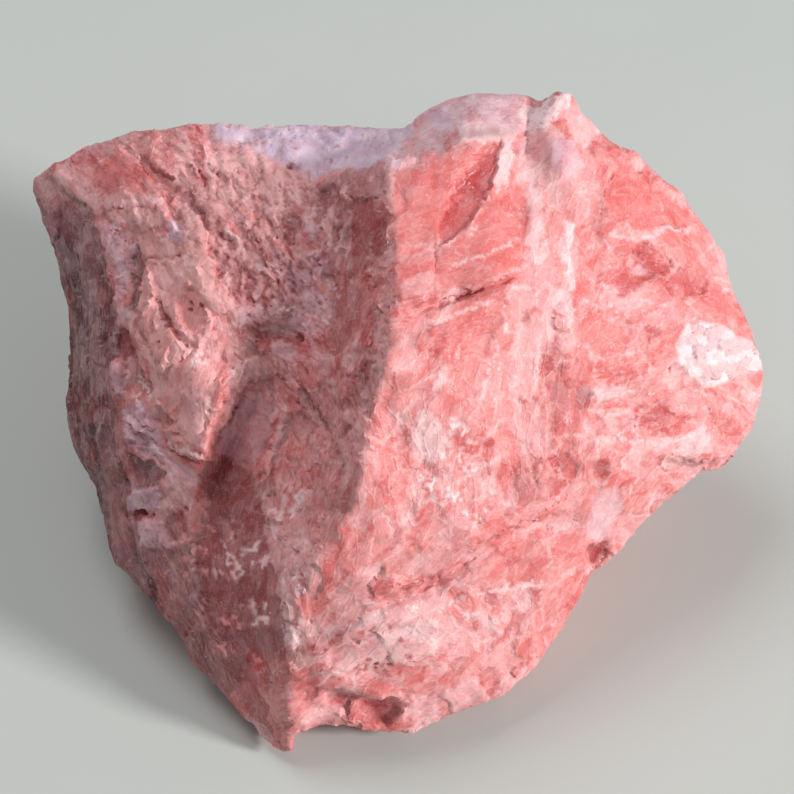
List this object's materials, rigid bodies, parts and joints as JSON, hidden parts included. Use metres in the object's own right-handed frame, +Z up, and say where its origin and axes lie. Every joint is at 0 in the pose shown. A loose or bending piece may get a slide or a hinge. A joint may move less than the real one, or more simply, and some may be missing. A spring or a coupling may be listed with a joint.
{
  "type": "rhodochrosite specimen",
  "caption": "Rough piece of pink rhodochrosite with a worn ridge, a broad cleavage face, a folded hollow side and a flat underside that it rests on.",
  "frame": {"origin": "middle of the bounding box's foot, on the surface that the stone rests on", "axes": "+Z up from the rest face, +X along the stone's longest extent, -Y towards the side with the ridge"},
  "size_m": [0.0748, 0.0572, 0.0445],
  "materials": {
    "rhodochrosite": "natural broken cleavage, satin"
  },
  "bodies": {
    "root": {"rhodochrosite_stone": "rhodochrosite"}
  },
  "joints": []
}
